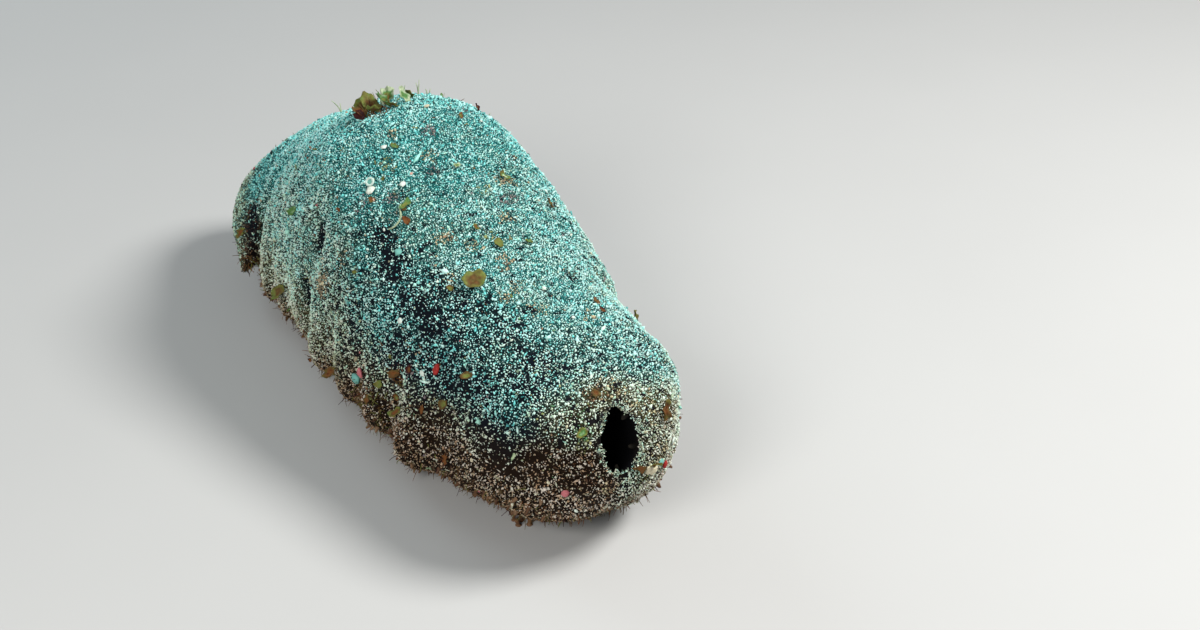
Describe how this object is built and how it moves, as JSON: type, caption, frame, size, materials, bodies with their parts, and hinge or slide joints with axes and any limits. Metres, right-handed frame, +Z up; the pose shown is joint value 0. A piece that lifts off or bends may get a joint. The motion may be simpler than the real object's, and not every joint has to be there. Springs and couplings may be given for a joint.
{
  "type": "sea cucumber model",
  "caption": "Stout sea cucumber at rest, bent at the fore end, with an open vent, lobed flanks, a flat creeping sole and a mouth with short tentacles tucked under.",
  "frame": {"origin": "on the floor, under the middle of the model's bounding box", "axes": "+Z up; +Y along the body from the vent at the hind end towards the fore end; +X to the animal's right"},
  "size_m": [0.1152, 0.2946, 0.1096],
  "materials": {
    "body_wall": "black skin under a close coat of pale sand grains, matt",
    "creeping_sole": "dark brown skin, damp, with tube feet",
    "vent_tooth": "limy, dull",
    "mouth": "soft dark skin, damp",
    "tentacle": "soft dark skin, damp",
    "carried_weed": "thin olive-brown weed, matt",
    "carried_shell": "worn shell and coral, dull"
  },
  "bodies": {
    "root": {"anal_end": "body_wall", "trunk_hind": "body_wall", "trunk_middle": "body_wall", "trunk_fore": "body_wall", "oral_end": "body_wall", "sole_hind": "creeping_sole", "sole_middle": "creeping_sole", "sole_fore": "creeping_sole", "vent_tooth_1": "vent_tooth", "vent_tooth_2": "vent_tooth", "vent_tooth_3": "vent_tooth", "vent_tooth_4": "vent_tooth", "vent_tooth_5": "vent_tooth", "mouth_disc": "mouth", "tentacle_01": "tentacle", "tentacle_02": "tentacle", "tentacle_03": "tentacle", "tentacle_04": "tentacle", "tentacle_05": "tentacle", "tentacle_06": "tentacle", "tentacle_07": "tentacle", "tentacle_08": "tentacle", "tentacle_09": "tentacle", "tentacle_10": "tentacle", "tentacle_11": "tentacle", "tentacle_12": "tentacle", "tentacle_13": "tentacle", "tentacle_14": "tentacle", "tentacle_15": "tentacle", "tentacle_16": "tentacle", "tentacle_17": "tentacle", "tentacle_18": "tentacle", "tentacle_19": "tentacle", "tentacle_20": "tentacle"}
  },
  "joints": []
}
